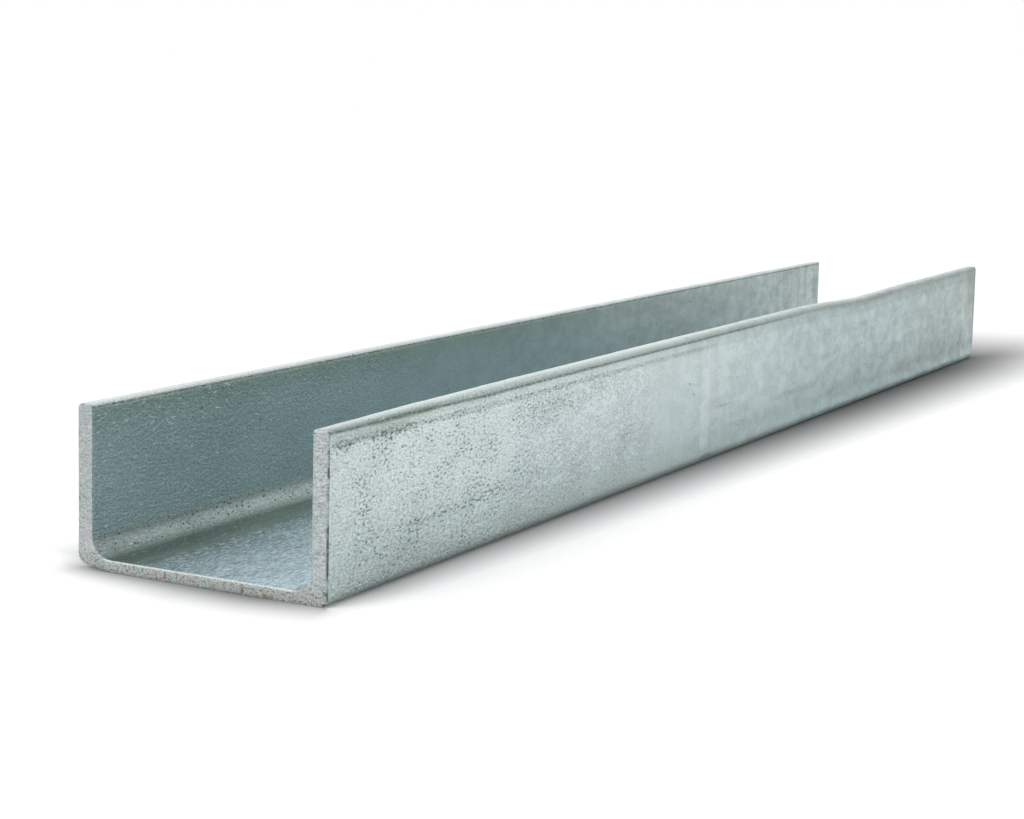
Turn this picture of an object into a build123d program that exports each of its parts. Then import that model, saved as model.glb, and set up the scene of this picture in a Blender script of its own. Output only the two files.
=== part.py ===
from build123d import *
import math
import os

# A cut length of hot-rolled steel channel with parallel flanges, galvanised after
# cutting, as used for a post that holds sleepers or panels between its flanges.
# It lies on the back of its web with both flanges up. X runs along the length, Y
# across the web and Z up. The origin is the middle of the overall box, at floor level.

# Rolled section, in millimetres
width = 125.0
height = 65.0
flange_thickness = 7.5
web_thickness = 4.7
root_radius = 8.0
heel_radius = 4.0
toe_outer_radius = 2.0
toe_inner_radius = 1.2

# Saw cuts: the length is the same along every line of the section, because both
# cuts lean the same way out of square, the toes ahead of the heels. In millimetres
# and degrees
length = 725.0
cut_angle = 4.5
arris_radius = 0.4

# What follows from them
clear_width = width - 2 * flange_thickness
clear_depth = height - web_thickness
lean = height * math.tan(math.radians(cut_angle))
overall_length = length + lean

# The saw planes face into the steel
cut_cos = math.cos(math.radians(cut_angle))
cut_sin = math.sin(math.radians(cut_angle))
near_saw_plane = Plane(
    origin=(-overall_length / 2, 0, 0),
    x_dir=(0, 1, 0),
    z_dir=(cut_cos, 0, -cut_sin),
)
far_saw_plane = Plane(
    origin=(overall_length / 2 - lean, 0, 0),
    x_dir=(0, 1, 0),
    z_dir=(-cut_cos, 0, cut_sin),
)

with BuildPart() as c_channel_post:
    # The section as it leaves the rolls: web below, a parallel flange at each side
    with BuildSketch(Plane.YZ) as section:
        Rectangle(width, height, align=(Align.CENTER, Align.MIN))
        with Locations((0, web_thickness)):
            Rectangle(
                clear_width,
                clear_depth,
                align=(Align.CENTER, Align.MIN),
                mode=Mode.SUBTRACT,
            )
        toes = section.vertices().group_by(Axis.Y)[-1].sort_by(Axis.X)
        fillet([toes[0], toes[-1]], toe_outer_radius)
        toes = section.vertices().group_by(Axis.Y)[-1].sort_by(Axis.X)
        fillet([toes[1], toes[2]], toe_inner_radius)
        roots = section.vertices().group_by(Axis.Y)[1]
        fillet(roots, root_radius)
        heels = section.vertices().group_by(Axis.Y)[0]
        fillet(heels, heel_radius)

    # A length of mill bar, longer than the piece that is sawn from it
    extrude(amount=overall_length, both=True)

    # Both saw cuts, then the arrises that zinc has rounded
    split(bisect_by=near_saw_plane, keep=Keep.TOP)
    split(bisect_by=far_saw_plane, keep=Keep.TOP)
    near_end = c_channel_post.faces().sort_by(Axis.X)[0]
    far_end = c_channel_post.faces().sort_by(Axis.X)[-1]
    fillet(near_end.edges() + far_end.edges(), arris_radius)

c_channel_post.part.label = "c_channel_post"

os.makedirs("parts", exist_ok=True)
export_step(c_channel_post.part, "parts/c_channel_post.step")
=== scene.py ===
"""A cut length of hot-dip galvanised steel channel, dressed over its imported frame.

The channel lies on the back of its web. X runs along it, Y across the web and Z up.
The near sawn end is at the low end of X, and the face that the camera sees best is
the back of the flange at the low side of Y, called the right flange here.
"""
import logging
import math
from collections.abc import Callable, Iterable
from dataclasses import dataclass
from enum import IntEnum
from functools import partial

import bmesh
import bpy
from mathutils import Matrix, Vector, noise


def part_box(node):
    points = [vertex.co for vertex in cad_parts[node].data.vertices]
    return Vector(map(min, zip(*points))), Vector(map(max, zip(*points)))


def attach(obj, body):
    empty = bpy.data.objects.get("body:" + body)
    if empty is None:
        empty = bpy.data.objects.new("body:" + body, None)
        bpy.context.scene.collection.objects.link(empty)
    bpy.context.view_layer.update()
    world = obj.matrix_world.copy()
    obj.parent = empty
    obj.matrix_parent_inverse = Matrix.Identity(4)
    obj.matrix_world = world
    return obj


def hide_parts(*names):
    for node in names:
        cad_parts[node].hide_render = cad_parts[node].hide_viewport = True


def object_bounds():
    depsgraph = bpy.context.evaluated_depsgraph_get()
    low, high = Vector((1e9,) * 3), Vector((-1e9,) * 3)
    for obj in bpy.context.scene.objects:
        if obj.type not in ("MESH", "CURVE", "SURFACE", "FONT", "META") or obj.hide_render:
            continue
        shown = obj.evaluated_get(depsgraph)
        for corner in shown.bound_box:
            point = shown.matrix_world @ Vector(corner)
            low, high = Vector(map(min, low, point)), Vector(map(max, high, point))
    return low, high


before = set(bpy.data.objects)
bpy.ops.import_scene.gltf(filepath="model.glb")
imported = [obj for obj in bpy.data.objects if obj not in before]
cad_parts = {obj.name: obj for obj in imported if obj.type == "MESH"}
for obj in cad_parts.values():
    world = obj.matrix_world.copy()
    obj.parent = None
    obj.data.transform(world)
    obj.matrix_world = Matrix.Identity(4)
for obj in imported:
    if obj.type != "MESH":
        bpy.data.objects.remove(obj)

logging.basicConfig(level=logging.INFO, format="%(message)s")
log = logging.getLogger("channel")

MM = 0.001
NODE = "c_channel_post"
CAD_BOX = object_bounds()

Colour = tuple[float, float, float, float]
Station = tuple[float, float]
Socket = bpy.types.NodeSocket

# How much nearer the toe's edge the groove under the right toe lies, at the near end and
# from SINK_END on, and how near two places count as one. In millimetres
SINK = (1.95, 0.35)
SINK_END = 100.0
TOUCH = 0.01


class Finish(IntEnum):
    """The material slots of the channel's mesh."""

    ROLLED = 0
    SAWN = 1


def linear(code: str) -> Colour:
    """Turn an sRGB hex code into the linear colour that a shader takes.

    Args:
        code: six hex digits with a leading hash.

    Returns:
        The colour with an alpha of 1.
    """
    channels = [int(code[place:place + 2], 16) / 255 for place in (1, 3, 5)]
    flat = [c / 12.92 if c <= 0.04045 else ((c + 0.055) / 1.055) ** 2.4 for c in channels]
    return (flat[0], flat[1], flat[2], 1.0)


def add_node(tree: bpy.types.NodeTree, kind: str, inputs: dict | None = None,
             **settings: object) -> bpy.types.Node:
    """Add a node with its settings, and set or link its inputs.

    Args:
        tree: the node tree that gets the node.
        kind: the node's type name.
        inputs: an input's name or index, and its value or the socket that feeds it.
        settings: properties of the node itself.

    Returns:
        The new node.
    """
    node = tree.nodes.new(kind)
    for name, value in settings.items():
        setattr(node, name, value)
    for key, value in (inputs or {}).items():
        if isinstance(value, Socket):
            tree.links.new(value, node.inputs[key])
        else:
            node.inputs[key].default_value = value
    return node


def start_material(name: str) -> tuple[bpy.types.Material, Callable]:
    """Start a material with an empty tree.

    Args:
        name: the material's name.

    Returns:
        The material, and the function that adds nodes to its tree.
    """
    material = bpy.data.materials.new(name)
    material.use_nodes = True
    material.node_tree.nodes.clear()
    return material, partial(add_node, material.node_tree)


def set_stops(ramp: bpy.types.ColorRamp, stops: list[tuple[float, str]]) -> None:
    """Give a colour ramp its stops.

    Args:
        ramp: the ramp, which keeps its own two stops for the first and the last.
        stops: place from 0 to 1 and hex colour, in order.
    """
    while len(ramp.elements) < len(stops):
        ramp.elements.new(0.5)
    for element, (place, _) in zip(ramp.elements, stops):
        element.position = place
    for element, (_, code) in zip(ramp.elements, stops):
        element.color = linear(code)


def between(add: Callable, value: Socket, source: tuple[float, float],
            target: tuple[Socket | float, float], kind: str = "LINEAR") -> Socket:
    """Map a value from one range to another, held at both ends.

    Args:
        add: adds a node to the tree.
        value: the value to map.
        source: the two ends it comes from.
        target: the two ends it goes to.
        kind: the node's interpolation type.

    Returns:
        The mapped value.
    """
    return add("ShaderNodeMapRange", {
        "Value": value, "From Min": source[0], "From Max": source[1],
        "To Min": target[0], "To Max": target[1]}, interpolation_type=kind).outputs[0]


def product(add: Callable, *factors: Socket | float) -> Socket:
    """Multiply a few factors.

    Args:
        add: adds a node to the tree.
        factors: numbers or sockets.

    Returns:
        Their product.
    """
    total = factors[0]
    for factor in factors[1:]:
        total = add("ShaderNodeMath", {0: total, 1: factor}, operation="MULTIPLY").outputs[0]
    return total


def band(add: Callable, place: Socket, start: float, end: float, soft: float) -> Socket:
    """Mask a band of the girth, or of the length.

    Args:
        add: adds a node to the tree.
        place: the place round the section, or along the post.
        start: where the band starts.
        end: where it ends.
        soft: how far it fades out past each side.

    Returns:
        A factor, 1 within the band.
    """
    middle, half = (start + end) / 2, (end - start) / 2
    offset = add("ShaderNodeMath", {0: place, 1: middle}, operation="SUBTRACT").outputs[0]
    reach = add("ShaderNodeMath", {0: offset}, operation="ABSOLUTE").outputs[0]
    return between(add, reach, (half + soft, half), (0.0, 1.0), "SMOOTHSTEP")


def where(add: Callable, mask: Socket, factor: Socket | float) -> Socket:
    """Give a factor where the mask is 1, and 1 where the mask is 0."""
    return add("ShaderNodeMix", {0: mask, 2: 1.0, 3: factor}).outputs[0]


def spread(add: Callable, place: Socket, scale: tuple[float, float], detail: float,
           roughness: float, distortion: float = 0.0, shift: float = 0.0) -> Socket:
    """Lay a noise over the skin.

    Args:
        add: adds a node to the tree.
        place: the place on the skin, in millimetres.
        scale: waves in a millimetre, along the post and round it.
        detail: octaves of finer noise.
        roughness: weight of each octave.
        distortion: how far the noise is drawn about.
        shift: moves the noise away from another one of the same scale.

    Returns:
        The noise, mostly between 0.3 and 0.7.
    """
    scaled = add("ShaderNodeMapping", {"Vector": place, "Location": (shift, shift, shift),
                 "Scale": (*scale, 1.0)}).outputs[0]
    return add("ShaderNodeTexNoise", {
        "Vector": scaled, "Scale": 1.0, "Detail": detail, "Roughness": roughness,
        "Distortion": distortion}).outputs[0]


def tinted(add: Callable, colour: Socket, layers: Iterable[tuple[Socket, str]]) -> Socket:
    """Lay colours over a colour, each as thick as its factor.

    Args:
        add: adds a node to the tree.
        colour: the colour underneath.
        layers: each layer's factor and hex colour, the lowest first.

    Returns:
        The colour under all its layers.
    """
    for factor, code in layers:
        colour = add("ShaderNodeMix", {0: factor, 6: colour, 7: linear(code)},
                     data_type="RGBA").outputs[2]
    return colour


def shaded(add: Callable, colour: Socket, factors: Iterable[Socket]) -> Socket:
    """Lighten or darken a colour by a few factors.

    Args:
        add: adds a node to the tree.
        colour: the colour to change.
        factors: what it is multiplied by.

    Returns:
        The colour times every factor.
    """
    for factor in factors:
        colour = add("ShaderNodeMix", {0: 1.0, 6: colour, 7: factor}, data_type="RGBA",
                     blend_type="MULTIPLY").outputs[2]
    return colour


def smooth(value: float, start: float, end: float) -> float:
    """Ease from 0 at start to 1 at end, either of which may be the larger."""
    part = min(max((value - start) / (end - start), 0.0), 1.0)
    return part * part * (3.0 - 2.0 * part)


def along_stations(stations: tuple[Station, ...], place: float) -> float:
    """Read a smooth curve that passes through a few stations.

    Args:
        stations: place and value, in order of place.
        place: where to read it.

    Returns:
        The curve's value there, held level past both ends.
    """
    if place <= stations[0][0]:
        return stations[0][1]
    for (start, low), (end, high) in zip(stations, stations[1:]):
        if place <= end:
            return low + (high - low) * smooth(place, start, end)
    return stations[-1][1]


@dataclass(frozen=True)
class Section:
    """The rolled section in millimetres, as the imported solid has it."""

    width: float
    height: float
    flange: float = 7.5
    web: float = 4.7
    root_radius: float = 8.0
    heel_radius: float = 4.0
    toe_outer_radius: float = 2.0
    toe_inner_radius: float = 1.2
    bead: float = 12.0
    on_wall: float = 0.1
    toe_pitch: float = 1.1
    floor_pitch: float = 2.8
    bead_pitch: float = 0.7
    face_pitch: float = 1.5
    trough_pitch: float = 2.2
    hidden_pitch: float = 3.0

    def corners(self) -> list[tuple[float, float, float, int]]:
        """List each corner with its radius and the steps of its round.

        Returns:
            Y, Z, radius and number of steps, once round the section from the right
            toe's inner corner over the toe and down the outside.
        """
        outer = self.width / 2
        inner = outer - self.flange
        return [
            (-inner, self.height, self.toe_inner_radius, 4),
            (-outer, self.height, self.toe_outer_radius, 5),
            (-outer, 0.0, self.heel_radius, 5),
            (outer, 0.0, self.heel_radius, 5),
            (outer, self.height, self.toe_outer_radius, 5),
            (inner, self.height, self.toe_inner_radius, 4),
            (inner, self.web, self.root_radius, 6),
            (-inner, self.web, self.root_radius, 6),
        ]

    def pitch(self, y: float, z: float) -> float:
        """Give the spacing of points on the straight wall that holds a place.

        The walls that the camera looks at are divided finer than the hidden ones.

        Args:
            y: the place across the web.
            z: the height.

        Returns:
            The spacing in millimetres.
        """
        outer = self.width / 2
        if z > self.height - self.on_wall:
            return self.toe_pitch
        if z < self.on_wall:
            return self.floor_pitch
        if y < -outer + self.on_wall:
            return self.bead_pitch if z > self.height - self.bead else self.face_pitch
        hidden = y > outer - self.on_wall or y <= -outer + self.flange + self.on_wall
        return self.hidden_pitch if hidden else self.trough_pitch


@dataclass(frozen=True)
class Lump:
    """A zinc bead, run or dent: its place on the skin, its half sizes and its height."""

    along: float
    girth: float
    half_length: float
    half_width: float
    height: float

    def rise(self, along: float, girth: float) -> float:
        """Give the lump's height over a place on the skin.

        Args:
            along: distance from the near end.
            girth: distance round the section.

        Returns:
            The height in millimetres.
        """
        reach = math.hypot((along - self.along) / self.half_length,
                           (girth - self.girth) / self.half_width)
        return self.height * smooth(reach, 1.0, 0.15)


@dataclass
class ChannelPost:
    """The whole post: one rolled, sawn and galvanised piece, as one mesh.

    Lengths are in millimetres. A place on the skin is given by its distance along the
    post from the near end, and its girth, the distance round the section from the
    right toe's inner corner over the toe and down the outside. The runs are numbers of
    rows and their pitches, finer near the camera. The right toe's wave is how far it
    dips at each station, and fades out below it between the wave heights. The swells are
    heights and pitches of the zinc's unevenness. Sides and fades run from where the
    groove, ripple or hollow is nothing to where it is whole.
    """

    section: Section
    length: float = 725.0
    cut_angle: float = 4.5
    arris: float = 0.4
    end_grid: float = 1.5
    skin_allowance: float = 0.25
    crease_angle: float = 28.0
    wave_heights: tuple[float, float] = (40.0, 60.0)
    worn_width: float = 17.5
    worn_depth: float = 2.6
    worn_length: float = 45.0
    worn_height: float = 14.0
    swells: tuple[tuple[float, float], ...] = ((0.10, 42.0), (0.07, 9.0), (0.04, 3.2))
    groove_depth: float = 0.3
    groove_sides: tuple[Station, Station] = ((9.4, 10.2), (11.2, 10.6))
    groove_fade: Station = (450.0, 340.0)
    ripple: float = 0.14
    ripple_middle: Station = (160.0, 24.0)
    ripple_fades: tuple[Station, Station] = ((28.0, 12.0), (13.0, 6.0))
    ripple_pitches: Station = (2.4, 3.0)
    hollow: float = 0.12
    hollow_sides: tuple[Station, Station] = ((50.5, 54.0), (69.0, 66.0))
    flat_foot: float = 1.5
    end_fade: float = 3.0
    runs: tuple[tuple[int, float], ...] = ((100, 1.3), (130, 1.9), (120, 2.9))
    right_toe_wave: tuple[Station, ...] = (
        (0.0, 1.35), (66.0, 0.59), (152.0, 0.24), (246.0, 0.07), (379.0, 0.0),
        (426.0, 0.0), (516.0, 2.31), (607.0, 1.31), (725.0, 0.65))
    lumps: tuple[Lump, ...] = (
        Lump(15.0, 54.0, 3.0, 5.0, 0.25),
        Lump(22.2, 27.9, 1.8, 1.5, -0.4),
        Lump(58.0, 50.5, 44.0, 1.6, 0.18),
        Lump(666.0, 68.3, 4.0, 3.5, 0.3),
    )

    @property
    def lean(self) -> float:
        """How far X moves for each millimetre of height on a sawn end."""
        return math.tan(math.radians(self.cut_angle))

    @property
    def near(self) -> float:
        """X of the near end at floor level."""
        return -(self.length + self.section.height * self.lean) / 2

    @property
    def row_fit(self) -> float:
        """How far the rows' pitches stretch to fill the length between the arrises."""
        whole = sum(count * pitch for count, pitch in self.runs)
        return (self.length - 2 * self.arris) / whole

    def draw_section(self, bm: bmesh.types.BMesh) -> None:
        """Draw the section as a closed wire at the near end and divide its walls.

        Args:
            bm: an empty mesh, which gets the wire.
        """
        corners = self.section.corners()
        ring = [bm.verts.new((self.near + self.arris, y, z)) for y, z, _, _ in corners]
        bm.faces.new(ring)
        for vert, (_, _, radius, steps) in zip(ring, corners):
            bmesh.ops.bevel(bm, geom=[vert], offset=radius, offset_type="OFFSET",
                            affect="VERTICES", segments=steps, profile=0.5, material=-1)
        bmesh.ops.delete(bm, geom=bm.faces[:], context="FACES_ONLY")
        outer = self.section.width / 2
        back = [edge for edge in bm.edges if all(v.co.y < -outer + TOUCH for v in edge.verts)]
        bmesh.ops.bisect_plane(bm, geom=back, plane_no=(0, 0, 1),
                               plane_co=(0, 0, self.section.height - self.section.bead))
        for edge in list(bm.edges):
            middle = (edge.verts[0].co + edge.verts[1].co) / 2
            cuts = round(edge.calc_length() / self.section.pitch(middle.y, middle.z)) - 1
            if edge.calc_length() > self.section.toe_outer_radius and cuts > 0:
                bmesh.ops.subdivide_edges(bm, edges=[edge], cuts=cuts)

    def measure_girth(self, bm: bmesh.types.BMesh) -> float:
        """Store each vertex's girth on the section's wire.

        Args:
            bm: the mesh that holds only the wire.

        Returns:
            The whole girth.
        """
        girth = bm.verts.layers.float.new("girth")
        inner = self.section.width / 2 - self.section.flange
        corner = Vector((self.near + self.arris, -inner,
                         self.section.height - self.section.toe_inner_radius))
        start = min(bm.verts, key=lambda vert: (vert.co - corner).length)
        edge = max(start.link_edges, key=lambda side: side.other_vert(start).co.z)
        vert, total = start, 0.0
        while True:
            vert[girth] = total
            total += edge.calc_length()
            vert = edge.other_vert(vert)
            if vert == start:
                return total
            edge = next(side for side in vert.link_edges if side != edge)

    def roll(self, bm: bmesh.types.BMesh) -> None:
        """Roll the wire out along X, with one long face for each run of rows.

        The rings are bridged, because a spin gave its faces another order in each run,
        and the divided edges then rounded a little differently.

        Args:
            bm: the mesh that holds only the wire.
        """
        last = bm.verts[:] + bm.edges[:]
        for count, pitch in self.runs:
            ring = bmesh.ops.duplicate(bm, geom=last)["geom"]
            bmesh.ops.translate(bm, vec=(count * pitch * self.row_fit, 0, 0),
                                verts=[item for item in ring
                                       if isinstance(item, bmesh.types.BMVert)])
            bmesh.ops.bridge_loops(bm, edges=[item for item in last + ring
                                              if isinstance(item, bmesh.types.BMEdge)])
            last = ring

    def divide_rows(self, bm: bmesh.types.BMesh) -> None:
        """Divide each run of the rolled skin into its rows.

        Args:
            bm: the mesh with the rolled skin.
        """
        start = self.near + self.arris
        for count, pitch in self.runs:
            end = start + count * pitch * self.row_fit
            long_edges = [edge for edge in bm.edges
                          if abs(abs(edge.verts[0].co.x - edge.verts[1].co.x)
                                 - (end - start)) < TOUCH
                          and start - TOUCH < min(v.co.x for v in edge.verts) < end]
            bmesh.ops.subdivide_edges(bm, edges=long_edges, cuts=count - 1)
            start = end

    def close_ends(self, bm: bmesh.types.BMesh) -> None:
        """Close both ends with a softened arris round a gridded sawn face.

        Args:
            bm: the mesh with the rolled skin, open at both ends.
        """
        open_edges = [edge for edge in bm.edges if edge.is_boundary]
        caps = bmesh.ops.holes_fill(bm, edges=open_edges, sides=0)["faces"]
        bmesh.ops.recalc_face_normals(bm, faces=bm.faces[:])
        flat, steep = self.arris * 0.3, self.arris * 0.7
        for inset, rise in ((flat, steep), (steep, flat)):
            for cap in caps:
                rim = bmesh.ops.inset_region(bm, faces=[cap], thickness=inset, depth=rise,
                                             use_even_offset=True)["faces"]
                for face in rim + [cap]:
                    face.material_index = Finish.SAWN
        geom = list(dict.fromkeys(
            item for cap in caps for item in (cap, *cap.edges, *cap.verts)))
        half, height = self.section.width / 2, self.section.height
        cuts = [((0, place, 0), (0, 1, 0)) for place in self.grid_lines(-half, half)]
        cuts += [((0, 0, place), (0, 0, 1)) for place in self.grid_lines(0.0, height)]
        for point, normal in cuts:
            geom = bmesh.ops.bisect_plane(bm, geom=geom, dist=1e-5, plane_co=point,
                                          plane_no=normal)["geom"]

    def grid_lines(self, start: float, end: float) -> list[float]:
        """List evenly spaced places strictly between two ends."""
        count = round((end - start) / self.end_grid)
        return [start + (end - start) * step / count for step in range(1, count)]

    def bend(self, place: Vector) -> Vector:
        """Give the place on the real, imperfect post for one on the true section.

        Args:
            place: a point of the straight, square section, in millimetres.

        Returns:
            The point after the saw's lean, the wave of the right toe and the worn left
            heel, drawn in a little so that the zinc's relief stays in the true size.
        """
        along = place.x - self.near
        y, z = place.y, place.z
        if y < 0.0:
            z -= along_stations(self.right_toe_wave, along) * smooth(z, *self.wave_heights)
        from_heel = self.section.width / 2 - y
        worn = self.worn_depth * max(1.0 - from_heel / self.worn_width, 0.0)
        worn *= smooth(along, self.worn_length, 0.0)
        z += worn * smooth(z, self.worn_height, 0.0)
        across = 1.0 - 2 * self.skin_allowance / self.section.width
        up = 1.0 - self.skin_allowance / self.section.height
        endwise = 1.0 - 2 * self.skin_allowance / self.length
        return Vector(((place.x + self.lean * place.z) * endwise, y * across, z * up))

    def relief(self, place: Vector, along: float, girth: float) -> float:
        """Give the height of the zinc's relief on the rolled skin.

        Args:
            place: the point in space, for the noise.
            along: distance from the near end.
            girth: distance round the section.

        Returns:
            Height in millimetres, outwards, within the skin allowance.
        """
        height = sum(size * noise.noise(place / pitch) for size, pitch in self.swells)
        level = girth + SINK[0] - (SINK[0] - SINK[1]) * min(along / SINK_END, 1.0)
        upper, lower = self.groove_sides
        groove = smooth(level, *upper) * smooth(level, *lower)
        height -= self.groove_depth * groove * smooth(along, *self.groove_fade)
        rippled = (smooth(abs(along - self.ripple_middle[0]), *self.ripple_fades[0])
                   * smooth(abs(girth - self.ripple_middle[1]), *self.ripple_fades[1]))
        height += self.ripple * rippled * noise.noise(
            (place.x / self.ripple_pitches[0], 0.0, place.z / self.ripple_pitches[1]))
        upper, lower = self.hollow_sides
        height -= self.hollow * smooth(girth, *upper) * smooth(girth, *lower)
        height += sum(lump.rise(along, girth) for lump in self.lumps)
        limit = 0.0 if place.z < self.flat_foot else self.skin_allowance
        ends = (smooth(along, 0.0, self.end_fade)
                * smooth(self.length - along, 0.0, self.end_fade))
        return min(height, limit) * ends

    def weather(self, bm: bmesh.types.BMesh) -> None:
        """Bend every point to the imperfect form, then raise the skin's relief.

        Args:
            bm: the whole mesh, straight and true.
        """
        girth = bm.verts.layers.float["girth"]
        along = {vert: vert.co.x - self.near for vert in bm.verts}
        for vert in bm.verts:
            vert.co = self.bend(vert.co)
        bm.normal_update()
        skin = {vert for face in bm.faces if face.material_index == Finish.ROLLED
                for vert in face.verts}
        moves = {vert: vert.normal * self.relief(vert.co, along[vert], vert[girth])
                 for vert in skin}
        for vert, move in moves.items():
            vert.co += move

    def unwrap(self, bm: bmesh.types.BMesh, whole_girth: float) -> None:
        """Lay the rolled skin out flat: U along the post and V round it, in metres.

        Args:
            bm: the whole mesh, straight and true.
            whole_girth: the whole distance round the section.
        """
        girth = bm.verts.layers.float["girth"]
        uv = bm.loops.layers.uv.new("skin")
        for face in bm.faces:
            if face.material_index != Finish.ROLLED:
                continue
            rounds = [loop.vert[girth] for loop in face.loops]
            crosses_start = max(rounds) - min(rounds) > whole_girth / 2
            for loop, value in zip(face.loops, rounds):
                if crosses_start and value < whole_girth / 2:
                    value += whole_girth
                loop[uv].uv = ((loop.vert.co.x - self.near) * MM, value * MM)

    def build(self) -> bpy.types.Object:
        """Make the post's mesh and its object, in metres.

        Returns:
            The object, with a slot for each finish.
        """
        bm = bmesh.new()
        self.draw_section(bm)
        whole_girth = self.measure_girth(bm)
        self.roll(bm)
        self.close_ends(bm)
        self.divide_rows(bm)
        self.unwrap(bm, whole_girth)
        self.weather(bm)
        bmesh.ops.scale(bm, vec=(MM, MM, MM), verts=bm.verts[:])
        for face in bm.faces:
            face.smooth = True
        mesh = bpy.data.meshes.new("galvanised_channel")
        bm.to_mesh(mesh)
        bm.free()
        mesh.set_sharp_from_angle(angle=math.radians(self.crease_angle))
        post = bpy.data.objects.new("galvanised_channel", mesh)
        bpy.context.scene.collection.objects.link(post)
        for finish in (GalvanisedSkin(), SawnEnd(self.near)):
            mesh.materials.append(finish.material())
        return post


@dataclass(frozen=True)
class Cluster:
    """A soft oval of the skin where the dark flecks crowd, or thin out if it is negative.

    Its place and half sizes are in millimetres, along the post and round its girth.
    """

    along: float
    girth: float
    half_length: float
    half_width: float
    crowding: float


@dataclass(frozen=True)
class Tint:
    """A soft patch of the skin with a colour of its own, in millimetres.

    Each band has its start, its end and how far it fades past them. The strength is
    given for the clear and the clouded parts of the zinc, and a folded patch follows
    the groove where the toe sinks.
    """

    code: str
    girth: tuple[float, float, float]
    along: tuple[float, float, float]
    strength: tuple[float, float]
    folded: bool = False


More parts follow.
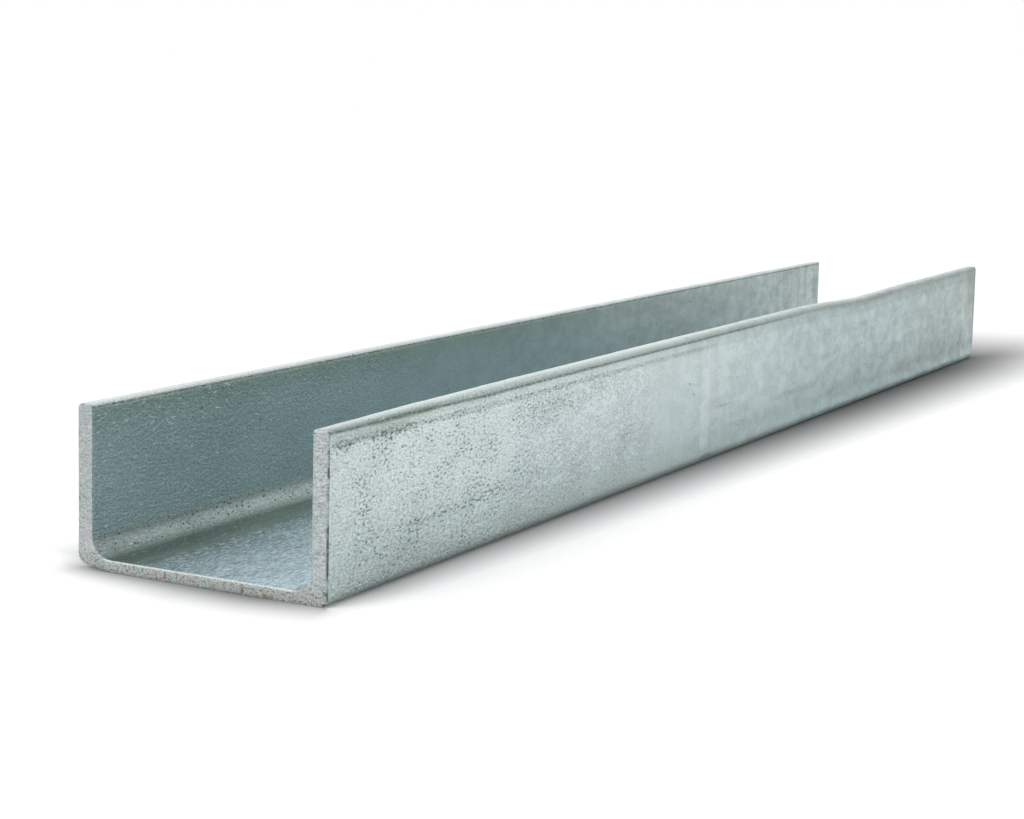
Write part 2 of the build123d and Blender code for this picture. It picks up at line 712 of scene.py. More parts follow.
@dataclass(frozen=True)
class GalvanisedSkin:
    """Hot-dip galvanised hot-rolled steel, dulled by weather.

    To the eye it is a pale green-grey zinc with dense fine dark flecks and sparse pits.
    It has drawn streaks on the web. The web is olive, painted darker beside the left root
    and lighter towards the right as painted shade and reflection, and a dark line of painted
    shade lies in the groove where the rolls folded the steel under the right toe. The toe
    tops, small glints and short strokes on the web carry painted highlights. The near end
    shows its grain and the far end only blotches, as in the photograph. Tones and crowds
    are read by girth, in millimetres.
    """

    name: str = "galvanised_rolled_steel"
    span: float = 500.0
    # Tones by girth, partly painted light: the right toe is brightest at its inner top edge as
    # a painted highlight and darkens down its bead into the groove as painted shade, the left
    # toe's top is painted lighter as a highlight, the back of the right flange darkens towards
    # its heel as painted shade, and the web is olive, painted darker beside the left root and
    # lighter towards the right as painted shade and reflection
    tones: tuple[tuple[float, str], ...] = (
        (0.0, "#EDF3F2"), (6.4, "#D0DCD9"), (8.2, "#C4D1CF"), (9.6, "#A2B1AD"),
        (10.4, "#92A19C"), (11.3, "#C4D0CE"), (12.2, "#D2DEDD"), (17.0, "#D8E4E3"),
        (46.0, "#D1DEDE"), (56.0, "#C9D7D7"), (66.0, "#B9C7C6"), (74.0, "#A5B2AD"),
        (190.0, "#ABB6B2"), (200.0, "#BAC5C1"), (256.0, "#CAD4D1"), (260.0, "#DFE6E5"),
        (265.0, "#DFE6E5"), (267.0, "#93A9A1"), (279.0, "#A3B9BC"), (313.0, "#B5CACF"),
        (318.0, "#BCCCCB"), (327.0, "#AFBEB8"), (331.0, "#798980"), (341.0, "#7B8C84"),
        (350.0, "#81938F"), (361.0, "#93A7AC"), (374.0, "#A1B6BC"), (388.0, "#AEC2CA"),
        (418.0, "#B9CED6"), (430.0, "#A9B7B5"),
        (490.0, "#AEBDBD"))
    crowds: tuple[tuple[float, str], ...] = (
        (0.0, "#404040"), (11.0, "#606060"), (13.0, "#FFFFFF"), (72.0, "#F0F0F0"),
        (190.0, "#C0C0C0"), (257.0, "#606060"), (266.0, "#505050"), (270.0, "#989898"),
        (312.0, "#808080"), (318.0, "#E8E8E8"), (329.0, "#E8E8E8"), (334.0, "#707070"),
        (420.0, "#606060"), (440.0, "#D0D0D0"), (490.0, "#D0D0D0"))
    clusters: tuple[Cluster, ...] = (
        Cluster(9.0, 13.8, 8.0, 3.0, 0.06), Cluster(34.0, 13.6, 16.0, 3.6, 0.07),
        Cluster(80.0, 14.4, 42.0, 2.0, 0.03), Cluster(180.0, 14.3, 62.0, 1.8, 0.03),
        Cluster(100.0, 49.0, 26.0, 6.0, 0.06), Cluster(216.0, 46.5, 13.0, 7.0, 0.09),
        Cluster(156.0, 25.0, 26.0, 10.0, 0.04), Cluster(304.0, 69.0, 10.0, 1.9, 0.16),
        Cluster(403.0, 52.0, 26.0, 2.4, 0.12), Cluster(322.0, 46.4, 14.0, 1.2, 0.12),
        Cluster(455.0, 23.4, 12.0, 2.6, 0.09), Cluster(457.0, 37.9, 12.0, 3.0, 0.09),
        Cluster(518.0, 24.7, 16.0, 2.6, 0.09), Cluster(343.0, 58.4, 12.0, 2.4, 0.10),
        Cluster(62.0, 51.5, 50.0, 1.6, 0.05), Cluster(693.0, 58.0, 4.0, 3.0, 0.15),
        Cluster(4.0, 45.0, 9.0, 30.0, -0.035), Cluster(390.0, 71.0, 260.0, 2.4, 0.07))
    tints: tuple[Tint, ...] = (
        Tint("#CAD6E0", (30.0, 50.0, 10.0), (140.0, 260.0, 40.0), (0.2, 0.2)),
        Tint("#AEB896", (10.8, 13.6, 0.8), (34.0, 56.0, 14.0), (0.15, 0.15), folded=True),
        # Painted shade: a dark olive patch in the groove under the right toe
        Tint("#76857A", (9.6, 11.0, 1.0), (30.0, 60.0, 12.0), (0.5, 0.5), folded=True),
        Tint("#97A5A2", (12.6, 15.4, 1.4), (6.0, 44.0, 8.0), (0.2, 0.55), folded=True),
        Tint("#DCE6E9", (14.0, 62.0, 4.0), (296.0, 303.0, 2.5), (0.5, 0.5)),
        Tint("#CFD8D4", (28.0, 66.0, 8.0), (700.0, 711.0, 3.0), (0.35, 0.35)),
        Tint("#97A39A", (14.0, 32.0, 8.0), (712.0, 726.0, 5.0), (0.5, 0.5)),
        Tint("#7C8581", (4.0, 40.0, 12.0), (722.5, 726.0, 1.6), (0.6, 0.6)))

    def material(self) -> bpy.types.Material:
        """Build the finish's node tree.

        Returns:
            The finished material.
        """
        material, add = start_material(self.name)
        uv = add("ShaderNodeUVMap", uv_map="skin").outputs["UV"]
        skin = add("ShaderNodeVectorMath", {0: uv, 1: (1 / MM, 1 / MM, 1 / MM)},
                   operation="MULTIPLY").outputs[0]
        parts = add("ShaderNodeSeparateXYZ", {0: skin})
        along, girth = parts.outputs["X"], parts.outputs["Y"]
        far = add("ShaderNodeMapRange", {"Value": along, "From Min": 240.0,
                  "From Max": 560.0}, interpolation_type="SMOOTHSTEP").outputs[0]
        noise_of = partial(spread, add, skin)

        # Waves in a millimetre. Grain is 1.4 by 0.9 mm and a fleck 1.8 by 1.1 mm: real
        # ones can be a few tenths, too fine to show, so both are drawn as coarse as this
        grain = noise_of((0.7, 1.1), 3.0, 0.7)
        fleck = noise_of((0.56, 0.88), 4.0, 0.7)
        patches = noise_of((1 / 15, 1 / 13), 3.0, 0.55)
        cloud = noise_of((1 / 44, 1 / 38), 4.0, 0.6)
        mottle = noise_of((1 / 9, 1 / 6), 3.0, 0.55, 0.6)

        # Raised worms of zinc, 5 by 3 mm, which the bump raises and the colour paints light and
        # dark as painted shade where the skin ripples, and how strong the fine detail is
        vivid = between(add, along, (70.0, 258.0), (1.4, 0.25))
        worms = noise_of((0.2, 0.32), 2.0, 0.5, 2.0)
        rippled = product(add, band(add, along, 140.0, 230.0, 30.0),
                               band(add, girth, 18.0, 56.0, 6.0))

        sunk = product(add, between(add, along, (0.0, SINK_END), SINK),
                            band(add, girth, 6.5, 16.0, 4.0))
        level = add("ShaderNodeMath", {0: girth, 1: sunk}, operation="ADD").outputs[0]
        colour = self.zinc(add, along, girth, level, cloud, far)
        factors = [
            where(add, vivid, between(add, grain, (0.34, 0.62), (0.71, 1.11))),
            where(add, between(add, along, (190.0, 330.0), (0.0, 1.0)),
                       between(add, mottle, (0.42, 0.58), (0.93, 1.04))),
            # Painted light: the heel's band lightened towards the far end, to offset the
            # floor's shadow that the metal reflects there
            where(add, band(add, girth, 67.0, 74.0, 8.0),
                       between(add, along, (200.0, 450.0), (1.02, 1.4))),
            where(add, product(add, band(add, girth, 14.0, 50.0, 8.0),
                                    band(add, along, 235.0, 300.0, 30.0)), 0.93),
            where(add, product(add, band(add, girth, 0.0, 15.0, 2.0),
                                    between(add, along, (280.0, 340.0), (0.0, 1.0))),
                       0.9),
            where(add, band(add, girth, 0.0, 56.0, 6.0),
                       between(add, along, (4.0, 48.0), (0.93, 1.0))),
            where(add, band(add, girth, 336.0, 376.0, 8.0),
                       between(add, along, (40.0, 85.0), (0.96, 1.12))),
            # Painted shade: the ripples' worms drawn light and dark, standing in for their
            # relief's shading
            where(add, rippled, between(add, worms, (0.42, 0.58), (0.86, 1.04))),
            between(add, cloud, (0.3, 0.7), (0.93, 1.05)),
            where(add, far, between(add, noise_of((1 / 19, 1 / 11), 6.0, 0.7),
                                         (0.32, 0.66), (0.82, 1.05))),
            where(add, far, between(add, noise_of((1 / 10, 1 / 75), 3.0, 0.6),
                                         (0.3, 0.7), (0.95, 1.04))),
            where(add, band(add, girth, 350.0, 424.0, 7.0),
                       between(add, noise_of((1 / 8, 1 / 2.2), 5.0, 0.66, 1.8),
                               (0.36, 0.64), (0.56, 1.36))),
            where(add, band(add, girth, 320.0, 340.0, 4.0),
                       between(add, along, (0.0, 130.0), (0.74, 1.0))),
            where(add, product(add, band(add, girth, 266.0, 320.0, 2.0),
                                    between(add, along, (560.0, 680.0), (0.0, 1.0))),
                       between(add, noise_of((1 / 14, 1 / 150), 3.0, 0.5),
                               (0.38, 0.62), (0.84, 1.1))),
        ]
        colour = shaded(add, colour, factors)

        flecks = self.flecks(add, skin, fleck, patches, vivid, girth)
        # Painted highlights: small bright glints, thicker near the top of the left flange's
        # inside at the near end
        sparkle = product(add, band(add, girth, 268.0, 280.0, 4.0),
                               band(add, along, 4.0, 60.0, 30.0), 0.025)
        glint_spots = add("ShaderNodeMath", {0: noise_of((0.32, 0.8), 2.0, 0.6, 1.0, 37.0),
                      1: sparkle}, operation="ADD").outputs[0]
        glints = product(add, between(add, glint_spots, (0.62, 0.72), (0.0, 0.45)), vivid)
        pits = self.pits(add, skin, grain, girth)
        line = self.toe_lines(add, along, girth, level, fleck)
        # Painted highlights: short bright strokes on the web
        strokes = product(add, band(add, girth, 352.0, 422.0, 5.0),
                               between(add, noise_of((0.4, 1.2), 3.0, 0.65, 0.8, 11.0),
                                       (0.54, 0.64), (0.0, 0.85)))
        squiggle = add("ShaderNodeMath", {0: noise_of((1 / 24, 1 / 10), 4.0, 0.6, 1.0),
                       1: 0.5}, operation="SUBTRACT").outputs[0]
        squiggle = add("ShaderNodeMath", {0: squiggle}, operation="ABSOLUTE").outputs[0]
        squiggle = product(add, between(add, squiggle, (0.012, 0.003), (0.0, 0.5)),
                                far, between(add, patches, (0.42, 0.6), (0.0, 1.0)))
        layers = ((flecks, "#6C7D7B"), (strokes, "#E2EFF3"), (squiggle, "#8A9A9A"),
                  (glints, "#ECF4F2"), (pits, "#4C5A5B"), (line, "#4F5F5B"))
        colour = tinted(add, colour, layers)

        peel = product(add, noise_of((0.4, 0.55), 4.0, 0.65), vivid)
        hammered = product(add, band(add, girth, 268.0, 316.0, 4.0), vivid, 1.2)
        low_near = product(add, band(add, girth, 46.0, 70.0, 10.0),
                                between(add, along, (230.0, 40.0), (0.0, 4.0)))
        coarse = add("ShaderNodeMath", {0: rippled, 1: 1.8, 2: hammered},
                     operation="MULTIPLY_ADD").outputs[0]
        coarse = add("ShaderNodeMath", {0: coarse, 1: low_near}, operation="ADD").outputs[0]
        worms = product(add, worms, coarse)
        heights = add("ShaderNodeMath", {0: worms, 1: peel}, operation="ADD").outputs[0]
        heights = add("ShaderNodeMath", {0: flecks, 1: -0.4, 2: heights},
                      operation="MULTIPLY_ADD").outputs[0]
        heights = add("ShaderNodeMath", {0: pits, 1: -0.5, 2: heights},
                      operation="MULTIPLY_ADD").outputs[0]
        bump = add("ShaderNodeBump", {"Height": heights, "Strength": 0.6,
                   "Distance": 0.38 * MM})
        rough = between(add, patches, (0.3, 0.7), (0.46, 0.6))
        shader = add("ShaderNodeBsdfPrincipled", {
            "Base Color": colour, "Metallic": 0.85, "Roughness": rough,
            "Normal": bump.outputs[0]})
        add("ShaderNodeOutputMaterial", {"Surface": shader.outputs[0]})
        return material

    def zinc(self, add: Callable, along: Socket, girth: Socket, level: Socket,
             cloud: Socket, far: Socket) -> Socket:
        """Colour the zinc by its place round the section and along the post.

        Args:
            add: adds a node to the finish's tree.
            along: the place along the post.
            girth: the place round the section.
            level: the same, but level with the groove where the toe sinks.
            cloud: a broad noise, which makes the tones' edges wander.
            far: 0 in the near third of the post and 1 in its last quarter.

        Returns:
            The colour.
        """
        inside = between(add, girth, (266.0, 320.0), (1.2, 7.0))
        wander = add("ShaderNodeMath", {0: cloud, 1: 0.5}, operation="SUBTRACT").outputs[0]
        wobble = add("ShaderNodeMath", {0: wander, 1: inside, 2: level},
                     operation="MULTIPLY_ADD").outputs[0]
        tone_place = between(add, wobble, (0.0, self.span), (0.0, 1.0))
        tone = add("ShaderNodeValToRGB", {"Fac": tone_place})
        set_stops(tone.color_ramp, [(g / self.span, code) for g, code in self.tones])
        end = between(add, along, (520.0, 700.0), (0.0, 1.0), "SMOOTHSTEP")
        pale = product(add, band(add, girth, 266.0, 320.0, 3.0), far, 0.75)
        dull = product(add, band(add, girth, 12.0, 72.0, 4.0), 0.6,
                            between(add, along, (210.0, 430.0), (0.0, 1.0)))
        brown_toe = product(add, band(add, girth, 8.2, 10.8, 1.8),
                                 between(add, along, (400.0, 520.0), (0.0, 1.0)),
                                 between(add, cloud, (0.36, 0.6), (0.05, 0.4)))
        warm_end = product(add, band(add, girth, 9.0, 60.0, 8.0), end,
                                between(add, cloud, (0.4, 0.56), (0.1, 0.7)))
        layers = [(pale, "#CBD8D6"), (dull, "#ACBFC1"), (brown_toe, "#9FA39B"),
                  (warm_end, "#AFB8B2")]
        for tint in self.tints:
            round_it = band(add, level if tint.folded else girth, *tint.girth)
            layers.append((product(add, round_it, band(add, along, *tint.along),
                                   between(add, cloud, (0.36, 0.6), tint.strength)),
                           tint.code))
        return tinted(add, tone.outputs[0], layers)

    def flecks(self, add: Callable, skin: Socket, fleck: Socket, patches: Socket,
               vivid: Socket, girth: Socket) -> Socket:
        """Scatter the dark flecks, thicker in patches and in the named clusters.

        Args:
            add: adds a node to the finish's tree.
            skin: the place on the skin, in millimetres.
            fleck: a fine noise, whose peaks are the flecks.
            patches: a broader noise, which thins and thickens them.
            vivid: how strong the fine detail is, most at the near end.
            girth: the place round the section.

        Returns:
            A factor, 1 within a fleck.
        """
        bias = between(add, patches, (0.34, 0.66), (-0.045, 0.028))
        bias = add("ShaderNodeMath", {0: bias, 1: fleck}, operation="ADD").outputs[0]
        strength = vivid
        for cluster in self.clusters:
            offset = add("ShaderNodeVectorMath", {
                0: skin, 1: (cluster.along, cluster.girth, 0.0)},
                operation="SUBTRACT").outputs[0]
            scaled = add("ShaderNodeVectorMath", {
                0: offset, 1: (1 / cluster.half_length, 1 / cluster.half_width, 0.0)},
                operation="MULTIPLY").outputs[0]
            reach = add("ShaderNodeVectorMath", {0: scaled},
                        operation="LENGTH").outputs["Value"]
            crowding = between(add, reach, (1.2, 0.4), (0.0, cluster.crowding))
            bias = add("ShaderNodeMath", {0: bias, 1: crowding}, operation="ADD").outputs[0]
            strength = add("ShaderNodeMath", {0: product(add, crowding, 4.0),
                           1: strength}, operation="MAXIMUM").outputs[0]
        peaks = between(add, bias, (0.55, 0.63), (0.0, 0.78))
        crowd = add("ShaderNodeValToRGB", {
            "Fac": between(add, girth, (0.0, self.span), (0.0, 1.0))})
        set_stops(crowd.color_ramp, [(g / self.span, code) for g, code in self.crowds])
        return product(add, peaks, crowd.outputs[0], strength)

    def pits(self, add: Callable, skin: Socket, grain: Socket, girth: Socket) -> Socket:
        """Dot the skin with sparse dark pits, and the root with closer ones.

        Args:
            add: adds a node to the finish's tree.
            skin: the place on the skin, in millimetres.
            grain: the noise that makes the pits ragged.
            girth: the place round the section.

        Returns:
            A factor, 1 within a pit.
        """
        factors = []
        for pitch, radius in ((8.5, 1.1), (2.7, 0.72)):
            cells = add("ShaderNodeTexVoronoi", {"Vector": skin, "Scale": 1 / pitch}).outputs[0]
            ragged = add("ShaderNodeMath", {0: grain, 1: 0.16, 2: cells},
                         operation="MULTIPLY_ADD").outputs[0]
            rim = radius / pitch + 0.02
            factors.append(between(add, ragged, (rim, rim - 0.04), (0.0, 0.85)))
        close = product(add, factors[1], band(add, girth, 318.0, 325.0, 2.0))
        return add("ShaderNodeMath", {0: factors[0], 1: close}, operation="MAXIMUM").outputs[0]

    def toe_lines(self, add: Callable, along: Socket, girth: Socket, level: Socket,
                  fleck: Socket) -> Socket:
        """Draw the dark line under the right toe's bead, which is painted shade in its groove,
        and the broken one below it.

        Args:
            add: adds a node to the finish's tree.
            along: the place along the post.
            girth: the place round the section.
            level: the same, but level with the groove where the toe sinks.
            fleck: the noise that breaks both lines.

        Returns:
            A factor, 1 where the line is darkest.
        """
        # Painted shade in the groove under the right toe's bead
        upper = product(add, band(add, level, 10.2, 10.6, 0.55),
                             between(add, along, (450.0, 350.0), (0.0, 1.0)),
                             between(add, fleck, (0.4, 0.56), (0.2, 0.8)))
        lower = product(add, band(add, level, 14.4, 15.4, 1.2),
                             band(add, along, 10.0, 290.0, 25.0),
                             between(add, fleck, (0.4, 0.6), (0.08, 0.4)))
        left_edge = product(add, band(add, girth, 266.0, 266.6, 0.4),
                                 between(add, fleck, (0.4, 0.6), (0.2, 0.8)))
        lines = add("ShaderNodeMath", {0: upper, 1: lower}, operation="MAXIMUM").outputs[0]
        return add("ShaderNodeMath", {0: lines, 1: left_edge}, operation="MAXIMUM").outputs[0]


@dataclass(frozen=True)
class Spot:
    """A stain on the near end: its place, its radius and its colour."""

    y: float
    z: float
    radius: float
    colour: str


@dataclass(frozen=True)
class SawnEnd:
    """The sawn end of the bar, galvanised after cutting.

    To the eye it is a speckled lilac and green grey. The saw's fine slanting hatch shows
    through the zinc on the flanges, dark pits run along the web, the right arris has a
    dark broken line, and there are a few spots of rust. The saw's marks are 0.6 mm apart
    and the grit is 1.2 by 0.8 mm, which is as coarse as they need to be to show.
    """

    near: float
    name: str = "galvanised_sawn_steel"
    spots: tuple[Spot, ...] = (
        Spot(58.3, 7.7, 0.8, "#4A492F"), Spot(55.4, 7.0, 0.7, "#45473A"),
        Spot(52.5, 4.2, 0.8, "#4B4A40"), Spot(16.1, 1.7, 0.9, "#7A5430"),
        Spot(16.5, 3.2, 0.6, "#6A4B2E"), Spot(-22.4, 1.5, 1.2, "#7F6A45"),
        Spot(-21.9, 3.2, 0.8, "#8C7A58"), Spot(-33.0, 0.9, 1.2, "#8A7D5A"),
        Spot(-36.0, 0.7, 1.0, "#968A66"), Spot(-61.6, 5.1, 1.2, "#3D4543"),
        Spot(-61.8, 7.6, 0.8, "#4A5250"), Spot(-60.4, 1.0, 0.9, "#3F4745"))

    def material(self) -> bpy.types.Material:
        """Build the finish's node tree.

        Returns:
            The finished material.
        """
        material, add = start_material(self.name)
        coordinates = add("ShaderNodeTexCoord").outputs["Object"]
        place = add("ShaderNodeVectorMath", {0: coordinates,
                    1: (1 / MM, 1 / MM, 1 / MM)}, operation="MULTIPLY").outputs[0]
        parts = add("ShaderNodeSeparateXYZ", {0: place})
        across, height = parts.outputs["Y"], parts.outputs["Z"]
        hatch_place = add("ShaderNodeMapping", {"Vector": place,
                          "Rotation": (math.radians(-24), 0.0, 0.0),
                          "Scale": (0.1, 0.3, 1.7)}).outputs[0]
        hatch = add("ShaderNodeTexNoise", {"Vector": hatch_place, "Scale": 1.0,
                    "Detail": 3.0, "Roughness": 0.65}).outputs[0]
        grain = add("ShaderNodeTexNoise", {"Vector": place, "Scale": 1 / 0.75,
                    "Detail": 3.0, "Roughness": 0.7}).outputs[0]
        grit_place = add("ShaderNodeMapping", {"Vector": place,
                         "Scale": (1.3, 0.85, 1.3)}).outputs[0]
        grit = add("ShaderNodeTexNoise", {"Vector": grit_place, "Scale": 1.0,
                   "Detail": 4.0, "Roughness": 0.7}).outputs[0]
        blotch = add("ShaderNodeTexNoise", {"Vector": place, "Scale": 1 / 6,
                     "Detail": 3.0, "Roughness": 0.6}).outputs[0]
        on_flange = between(add, height, (9.0, 16.0), (0.0, 1.0))
        on_right = between(add, across, (0.0, -10.0), (0.65, 1.0))

        lilac = between(add, blotch, (0.4, 0.6), (0.0, 1.0))
        colour = add("ShaderNodeMix", {0: lilac, 6: linear("#B8C4C3"),
                     7: linear("#C2C5C7")}, data_type="RGBA").outputs[2]
        strokes = between(add, hatch, (0.38, 0.56), (0.73, 1.06))
        strokes = where(add, product(add, on_flange, on_right), strokes)
        far_side = between(add, across, (48.0, 56.0), (1.0, 0.91))
        web_side = between(add, height, (9.0, 4.0), (1.0, 0.95))
        speckle = between(add, grain, (0.36, 0.62), (0.71, 1.1))
        colour = shaded(add, colour, (speckle, strokes, far_side, web_side))

        low = between(add, height, (12.0, 4.0), (-0.01, 0.05))
        biased = add("ShaderNodeMath", {0: grit, 1: low}, operation="ADD").outputs[0]
        pits = between(add, biased, (0.56, 0.66), (0.0, 0.85))
        olive = between(add, height, (9.0, 4.0), (0.0, 0.3))
        olive = product(add, olive, lilac)
        from_middle = add("ShaderNodeMath", {0: across}, operation="ABSOLUTE").outputs[0]
        on_web = between(add, from_middle, (49.0, 46.0), (0.0, 0.7))
        # Painted highlight: a bright line along the top edge of the web's end
        edge = product(add, between(add, height, (4.0, 4.5), (0.0, 1.0)), on_web)
        rim = between(add, across, (-61.1, -61.8), (0.0, 1.0))
        broken = between(add, blotch, (0.44, 0.56), (0.15, 0.95))
        rim = product(add, rim, broken)
        colour = tinted(add, colour, ((olive, "#A6A697"), (pits, "#545C58"),
                                      (rim, "#46514E"), (edge, "#DFE7E4")))
        for spot in self.spots:
            colour = self.stain(add, place, grain, colour, spot)

        heights = add("ShaderNodeMath", {0: pits, 1: -0.8, 2: grain},
                      operation="MULTIPLY_ADD").outputs[0]
        bump = add("ShaderNodeBump", {"Height": heights, "Strength": 0.5,
                   "Distance": 0.25 * MM})
        shader = add("ShaderNodeBsdfPrincipled", {
            "Base Color": colour, "Metallic": 0.7, "Roughness": 0.55,
            "Normal": bump.outputs[0]})
        add("ShaderNodeOutputMaterial", {"Surface": shader.outputs[0]})
        return material

    def stain(self, add: Callable, place: Socket, grain: Socket, colour: Socket,
              spot: Spot) -> Socket:
        """Lay one ragged stain over the colour so far.

        Args:
            add: adds a node to the finish's tree.
            place: the place in space, in millimetres.
            grain: the noise that makes the stain's edge ragged.
            colour: the colour under the stain.
            spot: where the stain is and what it looks like.

        Returns:
            The colour with the stain.
        """
        reach = add("ShaderNodeVectorMath", {0: place, 1: (self.near, spot.y, spot.z)},
                    operation="DISTANCE").outputs["Value"]
        ragged = add("ShaderNodeMath", {0: grain, 1: 1.6 * spot.radius, 2: reach},
                     operation="MULTIPLY_ADD").outputs[0]
        factor = add("ShaderNodeMapRange", {"Value": ragged,
                     "From Min": 2.0 * spot.radius, "From Max": 1.3 * spot.radius,
                     "To Max": 0.85}).outputs[0]
        return add("ShaderNodeMix", {0: factor, 6: colour, 7: linear(spot.colour)},
                   data_type="RGBA").outputs[2]


@dataclass(frozen=True)
class Studio:
    """A plain white floor, soft light and the photograph's point of view.

    The floor's contact shadow is painted. Its reach at the near and the far end is in metres,
    and its depth is matched to the photograph's from that one view.
    """

    lens: float = 60.351
    sensor: float = 36.0
    eye: tuple[float, float, float] = (-0.824213, -0.436678, 0.166992)
    yaw: float = 32.704
    pitch: float = 9.323
    roll: float = 1.194
    floor_size: float = 60.0
    contact: tuple[float, float] = (0.017, 0.085)
    past_ends: tuple[float, float] = (0.55, 0.46)
    inset: float = 1.0 * MM
    falloff: tuple[float, float] = (1.5, 2.25)
    gamma: float = 2.2
    glow: float = 0.13
    sky: float = 0.62
    lamp: float = 1.5
    lamp_width: float = 50.0
    lamp_side: tuple[float, float, float] = (-0.75, 0.3, 1.0)

    def lay_floor(self) -> bpy.types.Object:
        """Lay the white floor, which the camera sees with a soft painted contact shadow.

        Returns:
            The floor.
        """
        bm = bmesh.new()
        bmesh.ops.create_grid(bm, x_segments=1, y_segments=1, size=self.floor_size / 2)
        mesh = bpy.data.meshes.new("floor")
        bm.to_mesh(mesh)
        bm.free()
        floor = bpy.data.objects.new("floor", mesh)
        bpy.context.scene.collection.objects.link(floor)
        mesh.materials.append(self.paint())
        return floor

    def paint(self) -> bpy.types.Material:
        """Mix matt white paint, which gives the eye an even ground with no sheen.

        The camera and the metal see it with the painted contact shadow, and the light that it
        throws back on the post is plain white paint's.

        Returns:
            The paint.
        """
        material, add = start_material("matt_white_paint")
        path = add("ShaderNodeLightPath")
        contact = self.contact_shadow(add, add("ShaderNodeNewGeometry").outputs["Position"])
        matt = add("ShaderNodeBsdfDiffuse", {"Color": contact})
        glow = add("ShaderNodeEmission", {"Color": contact, "Strength": self.glow})
        seen = add("ShaderNodeAddShader", {0: matt.outputs[0], 1: glow.outputs[0]})
        plain = add("ShaderNodeBsdfDiffuse", {"Color": linear("#F7F7F7")})
        looked_at = add("ShaderNodeMath", {0: path.outputs["Is Camera Ray"],
                        1: path.outputs["Is Glossy Ray"]}, operation="MAXIMUM").outputs[0]
        choose = add("ShaderNodeMixShader", {
            0: looked_at, 1: plain.outputs[0], 2: seen.outputs[0]})
        add("ShaderNodeOutputMaterial", {"Surface": choose.outputs[0]})
        return material

    def contact_shadow(self, add: Callable, position: Socket) -> Socket:
        """Draw the shade that the photograph has round the post's foot.

        It goes by the distance from the post's footprint and is drawn as well as the
        lamp's own shadow. Distance counts for less past the ends, and on the left side
        by how far along it is. Places are in metres.

        Args:
            add: adds a node to the floor's tree.
            position: the place on the floor.

        Returns:
            The floor's grey, 1 where there is no shade.
        """
        parts = add("ShaderNodeSeparateXYZ", {0: position})
        along, across = parts.outputs["X"], parts.outputs["Y"]
        ends = (CAD_BOX[0][0], CAD_BOX[1][0])
        past_left = self.steps(add, along, 1.0, (
            (ends[0], ends[0] + 0.016, 0.0, -0.58), (ends[0] + 0.1, ends[1], 0.0, 0.9)))
        past = add("ShaderNodeCombineXYZ", {0: self.past_ends[1], 1: past_left}).outputs[0]
        apart = []
        for corner, inset, stretch in (
                (CAD_BOX[0], self.inset, (-self.past_ends[0], -1.0, 0.0)),
                (CAD_BOX[1], -self.inset, past)):
            corner = (corner[0] + inset, corner[1] + inset, 0.0)
            out = add("ShaderNodeVectorMath", {0: position, 1: corner},
                      operation="SUBTRACT").outputs[0]
            out = add("ShaderNodeVectorMath", {0: out, 1: stretch},
                      operation="MULTIPLY").outputs[0]
            apart.append(add("ShaderNodeVectorMath", {0: out}, operation="MAXIMUM").outputs[0])
        in_front = add("ShaderNodeSeparateXYZ", {0: apart[0]}).outputs["X"]
        both = add("ShaderNodeVectorMath", {0: apart[0], 1: apart[1]},
                   operation="ADD").outputs[0]
        distance = add("ShaderNodeVectorMath", {0: both}, operation="LENGTH").outputs["Value"]
        frontal = add("ShaderNodeMath", {0: in_front, 1: distance},
                      operation="DIVIDE").outputs[0]
        reach = between(add, along, ends, self.contact)
        share = add("ShaderNodeMath", {0: distance, 1: reach}, operation="DIVIDE").outputs[0]
        narrow = product(add, between(add, across, (0.0, CAD_BOX[1][1]), (0.0, 0.6)), frontal)
        share = add("ShaderNodeMath", {0: share, 1: narrow, 2: share},
                    operation="MULTIPLY_ADD").outputs[0]
        near_foot = add("ShaderNodeMath", {
            0: between(add, share, (0.0, 1.0), (1.0, 0.0)),
            1: between(add, frontal, (0.0, 1.0), self.falloff)}, operation="POWER").outputs[0]
        lift = between(add, across, (CAD_BOX[0][1], CAD_BOX[1][1]), (0.16, 0.0))
        beside = self.steps(add, along, 0.74, (
            (ends[0], ends[0] + 0.03, lift, 0.0), (ends[0], ends[0] + 0.5, 0.0, -0.32),
            (ends[1] - 0.065, ends[1], 0.0, 0.11)))
        before = self.steps(add, across, 0.46, (
            (CAD_BOX[0][1], -0.03, 0.24, 0.0), (-0.02, 0.05, 0.0, 0.12),
            (0.05, 0.07, 0.0, 0.24)))
        depth = add("ShaderNodeMix", {0: frontal, 2: beside, 3: before}).outputs[0]
        fade = add("ShaderNodeMix", {0: near_foot, 2: 1.0, 3: depth}).outputs[0]
        return add("ShaderNodeMath", {0: fade, 1: self.gamma}, operation="POWER").outputs[0]

    def steps(self, add: Callable, place: Socket, base: float,
              changes: tuple[tuple[float, float, Socket | float, float], ...]) -> Socket:
        """Add a few straight ramps to a base value.

        Args:
            add: adds a node to the floor's tree.
            place: the place along or across the floor, in metres.
            base: the value that the ramps are added to.
            changes: where each ramp starts and ends, and what it adds at each.

        Returns:
            The sum.
        """
        total = base
        for start, end, low, high in changes:
            ramp = between(add, place, (start, end), (low, high))
            total = add("ShaderNodeMath", {0: ramp, 1: total}, operation="ADD").outputs[0]
        return total

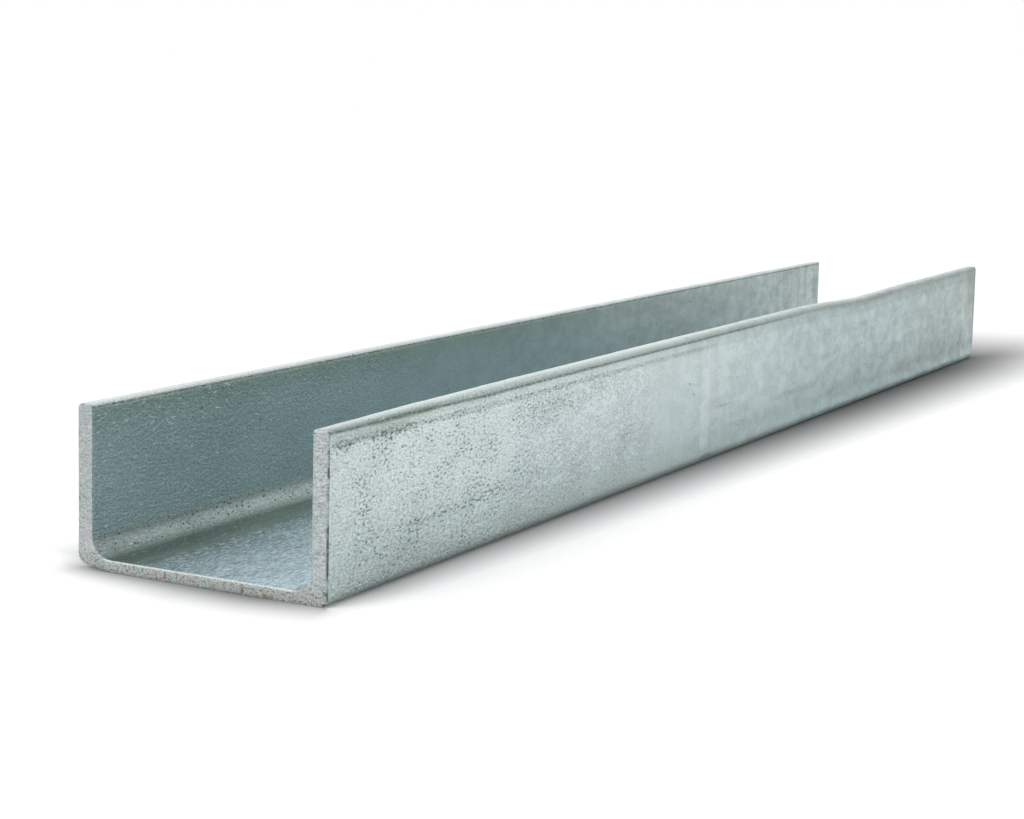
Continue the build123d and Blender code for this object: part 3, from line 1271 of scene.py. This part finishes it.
    def hang_sky(self) -> None:
        """Surround the set with a plain pale sky that the camera and the metal see as white."""
        world = bpy.data.worlds.new("studio")
        bpy.context.scene.world = world
        world.use_nodes = True
        tree = world.node_tree
        tree.nodes.clear()
        add = partial(add_node, tree)
        path = add("ShaderNodeLightPath")
        seen = add("ShaderNodeMath", {0: path.outputs["Is Camera Ray"],
                   1: path.outputs["Is Glossy Ray"]}, operation="MAXIMUM").outputs[0]
        sky = add("ShaderNodeBackground", {"Color": linear("#F8F8F8"), "Strength": self.sky})
        white = add("ShaderNodeBackground", {"Color": linear("#FFFFFF"), "Strength": 1.0})
        choose = add("ShaderNodeMixShader", {0: seen, 1: sky.outputs[0],
                     2: white.outputs[0]})
        add("ShaderNodeOutputWorld", {"Surface": choose.outputs[0]})

    def set_lamps(self) -> None:
        """Set one distant soft lamp above the left side of the near end."""
        lamp = bpy.data.lights.new("soft_lamp", "SUN")
        lamp.angle = math.radians(self.lamp_width)
        lamp.energy = self.lamp
        soft_lamp = bpy.data.objects.new("soft_lamp", lamp)
        towards = Vector(self.lamp_side)
        soft_lamp.rotation_euler = towards.to_track_quat("Z", "Y").to_euler()
        bpy.context.scene.collection.objects.link(soft_lamp)

    def place_camera(self) -> None:
        """Stand the camera where the photograph was taken."""
        yaw, pitch, roll = (math.radians(a) for a in (self.yaw, self.pitch, self.roll))
        ahead = Vector((math.cos(yaw) * math.cos(pitch), math.sin(yaw) * math.cos(pitch),
                        -math.sin(pitch)))
        level = Vector((math.sin(yaw), -math.cos(yaw), 0.0))
        down = ahead.cross(level)
        right = math.cos(roll) * level + math.sin(roll) * down
        up = math.sin(roll) * level - math.cos(roll) * down
        turn = Matrix((right, up, -ahead)).transposed().to_4x4()
        lens = bpy.data.cameras.new("camera")
        lens.lens = self.lens
        lens.sensor_width = self.sensor
        lens.clip_end = 200.0
        camera = bpy.data.objects.new("camera", lens)
        camera.matrix_world = Matrix.Translation(self.eye) @ turn
        bpy.context.scene.collection.objects.link(camera)
        bpy.context.scene.camera = camera


def main() -> None:
    """Build the post and its studio, and log the post's face count."""
    low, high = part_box(NODE)
    section = Section(width=(high[1] - low[1]) / MM, height=(high[2] - low[2]) / MM)
    post = ChannelPost(section).build()
    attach(post, "root")
    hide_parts(NODE)
    log.info("%s: %d faces", post.name, len(post.data.polygons))

    studio = Studio()
    studio.lay_floor()
    studio.hang_sky()
    studio.set_lamps()
    studio.place_camera()
    bpy.context.scene.view_settings.view_transform = "Standard"


if __name__ == "__main__":
    main()
